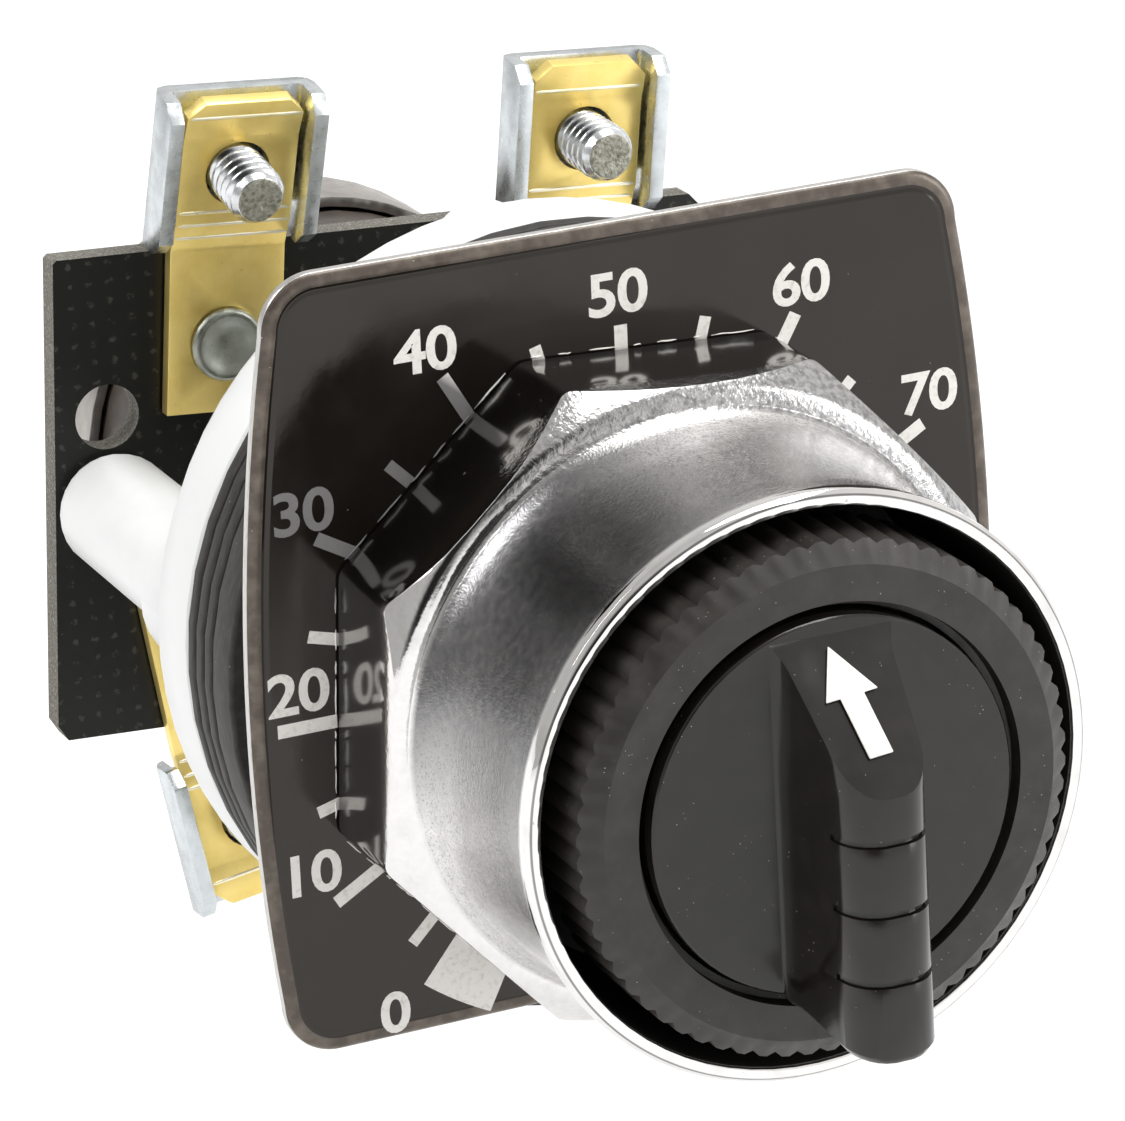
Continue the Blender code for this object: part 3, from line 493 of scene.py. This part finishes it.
# ---------------------------------------------------------------- dial plate
PLATE_LOW, PLATE_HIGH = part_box("legend_plate")
FACE_Y = PLATE_LOW.y / MM
PLATE_HALF = PLATE_HIGH.x / MM
PLATE_TOP = PLATE_HIGH.z / MM
PLATE_FOOT = PLATE_LOW.z / MM
CORNER_R = 4.3
SIDE_R = 172.0
HOLE_R = 15.4


def side_x(z, inset):
    return PLATE_HALF - z * z / (2 * SIDE_R) - inset


def plate_outline(inset, per_corner=14, per_side=22):
    """Right half of the plate's outline from the foot to the top, then its mirror image."""
    half = []
    r = CORNER_R - inset
    foot, top = PLATE_FOOT + inset, PLATE_TOP - inset
    foot_x = side_x(foot + r, inset) - r
    top_x = side_x(top - r, inset) - r
    for i in range(8):
        half.append((foot_x * i / 8, foot))
    for i in range(per_corner):
        a = -math.pi / 2 + math.pi / 2 * i / per_corner
        half.append((foot_x + r * math.cos(a), foot + r + r * math.sin(a)))
    for i in range(per_side):
        z = foot + r + (top - foot - 2 * r) * i / per_side
        half.append((side_x(z, inset), z))
    for i in range(per_corner):
        a = math.pi / 2 * i / per_corner
        half.append((top_x + r * math.cos(a), top - r + r * math.sin(a)))
    for i in range(8):
        half.append((top_x * (8 - i) / 8, top))
    half.append((0.0, top))
    return half + [(-x, z) for x, z in reversed(half[1:-1])]


def new_mesh(name, bm, materials, body="housing", smooth=35.0):
    bmesh.ops.recalc_face_normals(bm, faces=bm.faces)
    mesh = bpy.data.meshes.new(name)
    bm.to_mesh(mesh)
    bm.free()
    mesh.shade_smooth()
    mesh.set_sharp_from_angle(angle=math.radians(smooth))
    for material in materials:
        mesh.materials.append(material)
    obj = bpy.data.objects.new(name, mesh)
    bpy.context.scene.collection.objects.link(obj)
    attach(obj, body)
    return obj


def bridge(bm, loops, materials):
    """Rows of quads between closed loops of vertices; one material index per row."""
    for first, second, index in zip(loops, loops[1:], materials):
        count = len(first)
        for i in range(count):
            j = (i + 1) % count
            face = bm.faces.new((first[i], first[j], second[j], second[i]))
            face.material_index = index


def build_plate():
    """Plate with a pale cut edge, a rolled brownish border, a fine groove and the enamelled face."""
    bm = bmesh.new()
    rows = [  # inset, depth and material of each loop, from the back to the face
        (0.0, -0.04, 0), (0.0, -0.60, 0), (0.05, -0.68, 1), (0.16, -0.82, 1), (0.34, -0.93, 1),
        (0.55, -0.99, 1), (0.80, -1.00, 1), (1.05, -0.985, 2), (1.17, -0.93, 2), (1.32, -0.93, 2),
        (1.46, -0.985, 2), (1.7, -1.0, 2),
    ]
    loops = []
    back = [bm.verts.new((x * MM, 0.0, z * MM)) for x, z in plate_outline(0.06)]
    loops.append(back)
    for inset, y, _ in rows:
        loops.append([bm.verts.new((x * MM, y * MM, z * MM)) for x, z in plate_outline(inset)])
    ring = []
    rim = []
    for x, z in plate_outline(1.7):
        a = math.atan2(z, x)
        ring.append(bm.verts.new((HOLE_R * math.cos(a) * MM, FACE_Y * MM, HOLE_R * math.sin(a) * MM)))
        rim.append(bm.verts.new((HOLE_R * math.cos(a) * MM, 0.0, HOLE_R * math.sin(a) * MM)))
    loops += [ring, rim, back]
    bridge(bm, loops, [0] + [row[2] for row in rows] + [2, 0, 0])
    plate = new_mesh("dial_plate", bm, [plate_edge(), plate_roll(), enamel()])
    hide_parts("legend_plate")
    return plate


build_plate()

# ---------------------------------------------------------------- printed scale
PRINT_PROUD = 0.012
STROKE_SUNK = 0.2
NUMERAL_SUNK = 0.1
DEG_PER_UNIT = 3.0
INNER_R, MINOR_R, MAJOR_R, TOP_R, WEDGE_R = 24.0, 26.8, 28.7, 26.4, 28.9
WEDGE_DEG = (141.0, 153.5)
NUMERALS = {
    0: (-20.6, -24.2), 10: (-26.3, -11.6), 20: (-26.9, 2.8), 30: (-25.7, 16.6), 40: (-15.6, 27.1),
    50: (-0.1, 28.9),
    60: (14.9, 27.2), 70: (25.5, 16.8), 80: (26.7, 2.8), 90: (26.1, -11.6), 100: (20.4, -24.2),
}
DIGIT_H = 3.4
DIGIT_STRETCH = 1.1


def bar(bm, angle, inner, outer, width):
    """A printed stroke along a radius; angle in degrees clockwise from the top."""
    a = math.radians(angle)
    along = Vector((math.sin(a), 0.0, math.cos(a)))
    across = Vector((math.cos(a), 0.0, -math.sin(a)))
    corners = []
    for y in (FACE_Y - PRINT_PROUD, FACE_Y + STROKE_SUNK):
        for s, t in ((-1, inner), (1, inner), (1, outer), (-1, outer)):
            p = along * t + across * (s * width / 2)
            corners.append(bm.verts.new((p.x * MM, y * MM, p.z * MM)))
    for quad in ((0, 1, 2, 3), (7, 6, 5, 4), (0, 4, 5, 1), (1, 5, 6, 2), (2, 6, 7, 3), (3, 7, 4, 0)):
        bm.faces.new([corners[i] for i in quad])


def wedge(bm, start, end, inner, outer, steps=8):
    """A printed sector of a ring between two angles."""
    front, back = [], []
    for i in range(steps + 1):
        a = math.radians(start + (end - start) * i / steps)
        for rows, y in ((front, FACE_Y - PRINT_PROUD), (back, FACE_Y + STROKE_SUNK)):
            ends = [(r * math.sin(a) * MM, y * MM, r * math.cos(a) * MM) for r in (inner, outer)]
            rows.append([bm.verts.new(end) for end in ends])
    for i in range(steps):
        a, b, c, d = front[i], front[i + 1], back[i], back[i + 1]
        bm.faces.new((a[0], b[0], b[1], a[1]))
        bm.faces.new((c[0], c[1], d[1], d[0]))
        bm.faces.new((a[0], c[0], d[0], b[0]))
        bm.faces.new((a[1], b[1], d[1], c[1]))
    for a, c in ((front[0], back[0]), (front[-1], back[-1])):
        bm.faces.new((a[0], a[1], c[1], c[0]))


def numeral(bm, text, x, z):
    """Adds the number to bm as shallow raised print, centred at (x, z) millimetres."""
    curve = bpy.data.curves.new("digit", "FONT")
    curve.body = text
    curve.size = 1.0
    curve.offset = 0.022
    curve.space_character = 0.98
    curve.extrude = 0.02
    curve.resolution_u = 5
    obj = bpy.data.objects.new("digit", curve)
    bpy.context.scene.collection.objects.link(obj)
    bpy.context.view_layer.update()
    mesh = bpy.data.meshes.new_from_object(obj.evaluated_get(bpy.context.evaluated_depsgraph_get()))
    points = [v.co for v in mesh.vertices]
    low = Vector((min(p.x for p in points), min(p.y for p in points), min(p.z for p in points)))
    high = Vector((max(p.x for p in points), max(p.y for p in points), max(p.z for p in points)))
    scale = DIGIT_H / (high.y - low.y)
    middle = (low + high) / 2
    for v in mesh.vertices:
        p = (v.co - middle) * scale
        depth = FACE_Y - PRINT_PROUD if p.z > 0 else FACE_Y + NUMERAL_SUNK
        v.co = Vector(((x + p.x * DIGIT_STRETCH) * MM, depth * MM, (z + p.y) * MM))
    bm.from_mesh(mesh)
    bpy.data.objects.remove(obj)
    bpy.data.curves.remove(curve)
    bpy.data.meshes.remove(mesh)


def build_print():
    bm = bmesh.new()
    for k in range(5, 100, 5):
        major = k % 10 == 0
        outer = TOP_R if k == 50 else (MAJOR_R if major else MINOR_R)
        inner = INNER_R if k <= 25 else INNER_R + 0.4
        bar(bm, (k - 50) * DEG_PER_UNIT, inner, outer, 1.05 if major else 0.95)
    wedge(bm, -WEDGE_DEG[1], -WEDGE_DEG[0], INNER_R, WEDGE_R)
    wedge(bm, WEDGE_DEG[0], WEDGE_DEG[1], INNER_R, WEDGE_R)
    for k, (x, z) in NUMERALS.items():
        numeral(bm, str(k), x, z)
    return new_mesh("dial_print", bm, [print_white()], smooth=20.0)


build_print()


# ---------------------------------------------------------------- terminal screws
SCREW_R = 2.4
SCREW_CORE = 1.93
SCREW_TIP_R = 1.8
SCREW_HEAD_R = 5.4
SCREW_HEAD_H = 2.8
SCREW_PITCH = 1.0
SCREW_SIDES = 56
PAD_LEAN_DEG = {"a": 11.0, "b": 3.0, "c": 6.0}


def terminal_frame(key):
    """(tip, across, out, up) of a terminal: out along its screw to the front, up along its strip."""
    low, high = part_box("rivet_" + key)
    rivet = (low + high) / 2 / MM
    low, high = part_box("screw_" + key)
    centre = (low + high) / 2 / MM
    points = screw_points(key)
    nearest = min(p.y for p in points)
    front = [p for p in points if p.y < nearest + 0.35]
    tip = sum(front, Vector()) / len(front)
    up = Vector((centre.x - rivet.x, 0.0, centre.z - rivet.z)).normalized()
    flat = Vector((0.0, -1.0, 0.0))
    turn = math.radians(PAD_LEAN_DEG[key])
    out = (flat * math.cos(turn) - up * math.sin(turn)).normalized()
    along = (up * math.cos(turn) + flat * math.sin(turn)).normalized()
    return tip, out.cross(along).normalized(), out, along


def screw_points(key):
    return [v.co / MM for v in NODES["screw_" + key].data.vertices]


def screw_materials():
    tip = Net("screw_tip", (0.40, 0.40, 0.35), 0.45, metal=0.85)
    tip.tint(tip.between(tip.noise(0.35, 4.0), 0.4, 0.65), (0.20, 0.19, 0.14))
    tip.raise_by(tip.noise(0.25, 4.0), 0.10)
    return [zinc("screw_zinc", (0.74, 0.76, 0.78), (0.50, 0.51, 0.52), 0.18), tip.done()]


SCREW_MATERIALS = screw_materials()


def thread_rows(start, tip):
    """Loops of (radius, height) from the head to the tip; the ridge climbs one pitch a turn."""
    rows = []
    s = start
    while s < tip - 0.05:
        row = []
        for i in range(SCREW_SIDES):
            phase = (s / SCREW_PITCH - i / SCREW_SIDES) % 1.0
            ridge = 1 - abs(2 * phase - 1)
            ridge = ridge * ridge * (3 - 2 * ridge)
            r = SCREW_CORE + (SCREW_R - SCREW_CORE) * ridge
            fade = min(1.0, max(0.0, (tip - 0.05 - s) / 0.9))
            r = min(r, SCREW_TIP_R + (SCREW_R - SCREW_TIP_R) * fade)
            row.append((r - 0.01, s))
        rows.append(row)
        s += SCREW_PITCH / 10
    return rows


def cut_slot(obj, middle, side, other, out, depth):
    """Cuts a straight slot across obj's head, along side, and keeps the result as its mesh."""
    bm = bmesh.new()
    bmesh.ops.create_cube(bm, size=1.0)
    for v in bm.verts:
        q = v.co.copy()
        v.co = (middle + side * (q.x * 13) + other * q.y + out * (depth + q.z * 2.4)) * MM
    bmesh.ops.recalc_face_normals(bm, faces=bm.faces)
    mesh = bpy.data.meshes.new("slot")
    bm.to_mesh(mesh)
    bm.free()
    cutter = bpy.data.objects.new("slot", mesh)
    bpy.context.scene.collection.objects.link(cutter)
    cut = obj.modifiers.new("slot", "BOOLEAN")
    cut.operation = "DIFFERENCE"
    cut.solver = "EXACT"
    cut.object = cutter
    bpy.context.view_layer.update()
    graph = bpy.context.evaluated_depsgraph_get()
    made = bpy.data.meshes.new_from_object(obj.evaluated_get(graph))
    obj.modifiers.clear()
    obj.data = made
    bpy.data.objects.remove(cutter)


def build_screw(key):
    """Screw with a helical thread, a ragged cut tip and a slotted head behind the saddle."""
    centre, across, out, up = terminal_frame(key)
    points = screw_points(key)
    reach = [(p - centre).dot(out) for p in points]
    tip, rear = max(reach), min(reach)
    near_tip = [p - centre for p in points if (p - centre).dot(out) > tip - 1.2]
    radial = [p - out * p.dot(out) for p in near_tip]
    middle = centre + sum(radial, Vector()) / len(radial)
    bm = bmesh.new()

    def ring(profile):
        made = []
        for i, (r, height) in enumerate(profile):
            a = 2 * math.pi * i / SCREW_SIDES
            p = middle + across * (r * math.cos(a)) + up * (r * math.sin(a)) + out * height
            made.append(bm.verts.new(p * MM))
        return made

    head = [(1.7, 0.03), (1.0, 0.12), (0.5, 0.5), (0.1, 1.1), (0.02, 1.5), (0.02, 2.6), (0.2, 2.77)]
    loops = [ring([(SCREW_HEAD_R - inset, rear + h)] * SCREW_SIDES) for inset, h in head]
    loops += [ring(row) for row in thread_rows(rear + SCREW_HEAD_H - 0.02, tip)]
    rng = random.Random(11 + ord(key))
    for r, drop in ((SCREW_TIP_R - 0.12, 0.03), (1.2, 0.05), (0.6, 0.10)):
        ragged = []
        for _ in range(SCREW_SIDES):
            radius = r * rng.uniform(0.96, 1.0)
            ragged.append((radius, tip - drop - rng.uniform(0.0, 0.06)))
        loops.append(ring(ragged))
    bridge(bm, loops, [0] * (len(loops) - 4) + [1, 1, 1])
    bm.faces.new(loops[0][::-1])
    end = bm.faces.new(loops[-1])
    end.material_index = 1
    obj = new_mesh("screw_thread_" + key, bm, SCREW_MATERIALS, smooth=42.0)
    angle = math.radians(25)
    side = across * math.cos(angle) + up * math.sin(angle)
    other = up * math.cos(angle) - across * math.sin(angle)
    cut_slot(obj, middle, side, other, out, rear - 0.2)
    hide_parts("screw_" + key)


for terminal in "abc":
    build_screw(terminal)

# ---------------------------------------------------------------- press lines with painted highlights, and a painted glint at the nut's base
BEADS = (-6.7, -5.5, -4.4, 4.0, 6.8)
TUBE_SIDES = 8
BASE_LINE_GAP = 0.14
NUT_FLAT = 24.4
NUT_TURN_DEG = -3.0


def tube(bm, points, width, height, out, side):
    """A closed flattened tube through the points."""
    loops = []
    for i, spot in enumerate(points):
        end = 0.4 if i in (0, len(points) - 1) else 1.0
        ring = []
        for k in range(TUBE_SIDES):
            a = 2 * math.pi * k / TUBE_SIDES
            p = spot + side * (width * end * math.cos(a)) + out * (height * end * math.sin(a))
            ring.append(bm.verts.new(p * MM))
        loops.append(ring)
    bridge(bm, loops, [0] * len(loops))
    bm.faces.new(loops[0][::-1])
    bm.faces.new(loops[-1])


def build_beads(key):
    """Press lines across a brass strip: raised edges at its bends, in a pale metal that paints their
    highlights.
    """
    middle, across, out, up = terminal_frame(key)
    mesh = NODES["strip_" + key].data
    tree = BVHTree.FromPolygons([v.co / MM for v in mesh.vertices], [list(p.vertices) for p in mesh.polygons])
    bm = bmesh.new()
    for wanted in BEADS:
        half = 3.6 if wanted > 6 else 4.7
        points = []
        for i in range(25):
            t = -half + 2 * half * i / 24
            start = middle + across * t + up * wanted + out * 8
            hit = tree.ray_cast(start, -out, 30)[0]
            if hit is not None:
                points.append(hit)
        if len(points) > 18:
            tube(bm, points, 0.15, 0.09, out, up)
    # the beads' pale metal is a painted highlight
    new_mesh("strip_painted_highlight_beads_" + key, bm, [PAINTED_HIGHLIGHT], smooth=60.0)


for terminal in "abc":
    build_beads(terminal)


def build_base_line():
    """A thin broken white line, a painted glint, where the nut's flats meet the dial plate."""
    rng = random.Random(5)
    low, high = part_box("ring_nut")
    centre = (low + high) / 2 / MM
    r = (NUT_FLAT + BASE_LINE_GAP) / math.cos(math.pi / 8)
    corners = []
    for k in range(8):
        a = math.radians(NUT_TURN_DEG) + math.pi / 8 + k * math.pi / 4
        corners.append(Vector((centre.x + r * math.cos(a), FACE_Y - 0.05, centre.z + r * math.sin(a))))
    bm = bmesh.new()
    for first, second in zip(corners, corners[1:] + corners[:1]):
        along = second - first
        length = along.length
        t = rng.uniform(1.0, 1.4)
        while t < length - 1.4:
            run = rng.uniform(0.5, 3.6)
            stop = min(length - 1.1, t + run)
            side = along.normalized().cross(Vector((0.0, 1.0, 0.0)))
            points = []
            for i in range(5):
                spot = first + along * ((t + (stop - t) * i / 4) / length)
                points.append(spot + side * rng.uniform(-0.035, 0.035))
            tube(bm, points, rng.uniform(0.035, 0.075), 0.08, Vector((0.0, -1.0, 0.0)), side)
            t = stop + rng.uniform(0.15, 1.5)
    # the white print material paints the glint
    new_mesh("nut_base_painted_glint", bm, [print_white()], smooth=60.0)


build_base_line()


# ---------------------------------------------------------------- stage, light and camera
def stage_material():
    n = Net("stage_white", (0.30, 0.30, 0.30), 0.9, spec=0.0)
    n.tint(n.between(n.noise(120.0, 2.0), 0.4, 0.7), (0.31, 0.31, 0.31))
    n.set("Emission Color", (1.0, 1.0, 1.0, 1.0))
    n.set("Emission Strength", 0.80)
    return n.done()


def build_stage():
    """A floor that sweeps far out to every side."""
    low = CAD_BOX[0].z - 0.012
    bm = bmesh.new()
    bmesh.ops.create_circle(bm, cap_ends=True, radius=6.0, segments=96)
    for v in bm.verts:
        v.co.z = low
    mesh = bpy.data.meshes.new("stage_floor")
    bm.to_mesh(mesh)
    bm.free()
    mesh.materials.append(stage_material())
    floor = bpy.data.objects.new("stage_floor", mesh)
    bpy.context.scene.collection.objects.link(floor)


def area_light(name, place, size, power, target=(0.0, 0.0, 0.0), colour=(1.0, 1.0, 1.0)):
    light = bpy.data.lights.new(name, "AREA")
    light.shape = "RECTANGLE"
    light.size, light.size_y = size
    light.energy = power
    light.color = colour
    obj = bpy.data.objects.new(name, light)
    obj.location = place
    aim = Vector(target) - Vector(place)
    obj.rotation_mode = "QUATERNION"
    obj.rotation_quaternion = aim.to_track_quat("-Z", "Y")
    bpy.context.scene.collection.objects.link(obj)


def build_light():
    world = bpy.data.worlds.new("studio")
    world.use_nodes = True
    tree = world.node_tree
    back = tree.nodes["Background"]
    place = tree.nodes.new("ShaderNodeTexCoord")

    def facing(direction, low, high, to_low, to_high):
        """Brightness that changes with how far the sky's direction is from this one."""
        dot = tree.nodes.new("ShaderNodeVectorMath")
        dot.operation = "DOT_PRODUCT"
        tree.links.new(place.outputs["Generated"], dot.inputs[0])
        dot.inputs[1].default_value = Vector(direction).normalized()
        ramp = tree.nodes.new("ShaderNodeMapRange")
        ramp.interpolation_type = "SMOOTHSTEP"
        tree.links.new(dot.outputs["Value"], ramp.inputs["Value"])
        for key, number in (("From Min", low), ("From Max", high), ("To Min", to_low), ("To Max", to_high)):
            ramp.inputs[key].default_value = number
        return ramp.outputs[0]

    def times(a, b):
        made = tree.nodes.new("ShaderNodeMath")
        made.operation = "MULTIPLY"
        tree.links.new(a, made.inputs[0])
        tree.links.new(b, made.inputs[1])
        return made.outputs[0]

    side = facing((1.0, -0.25, 0.1), -0.9, 0.7, 0.52, 0.98)
    dark_side = facing((-0.36, -0.86, 0.36), 0.80, 0.965, 1.0, 0.03)
    high = facing((0.0, 0.0, 1.0), 0.55, 0.95, 1.0, 0.75)
    tree.links.new(times(times(side, dark_side), high), back.inputs["Strength"])
    back.inputs["Color"].default_value = (1.0, 0.985, 0.965, 1.0)
    bpy.context.scene.world = world
    area_light("key", (-0.75, 0.05, 0.75), (0.5, 0.5), 5.5)
    area_light("top", (0.25, -0.1, 0.9), (0.6, 0.5), 6.5)
    area_light("fill", (0.75, -0.55, 0.25), (0.35, 0.6), 3.5)


def build_camera():
    """Long lens from the left and a little above the part."""
    place = Vector((-168.32, -365.75, 155.44)) * MM
    yaw, pitch, roll = math.radians(24.067), math.radians(20.131), math.radians(-2.332)
    ahead = Vector((math.sin(yaw) * math.cos(pitch), math.cos(yaw) * math.cos(pitch), -math.sin(pitch)))
    right = ahead.cross(Vector((0.0, 0.0, 1.0))).normalized()
    up = right.cross(ahead)
    r = right * math.cos(roll) + up * math.sin(roll)
    u = up * math.cos(roll) - right * math.sin(roll)
    data = bpy.data.cameras.new("camera")
    data.sensor_width = 36.0
    data.sensor_fit = "HORIZONTAL"
    data.lens = 184.07
    data.clip_start, data.clip_end = 0.01, 50.0
    camera = bpy.data.objects.new("camera", data)
    turn = Matrix((r, u, -ahead)).transposed().to_4x4()
    camera.matrix_world = Matrix.Translation(place) @ turn
    bpy.context.scene.collection.objects.link(camera)
    bpy.context.scene.camera = camera


build_stage()
build_light()
build_camera()
bpy.context.scene.view_settings.view_transform = "Standard"
bpy.context.scene.view_settings.look = "None"
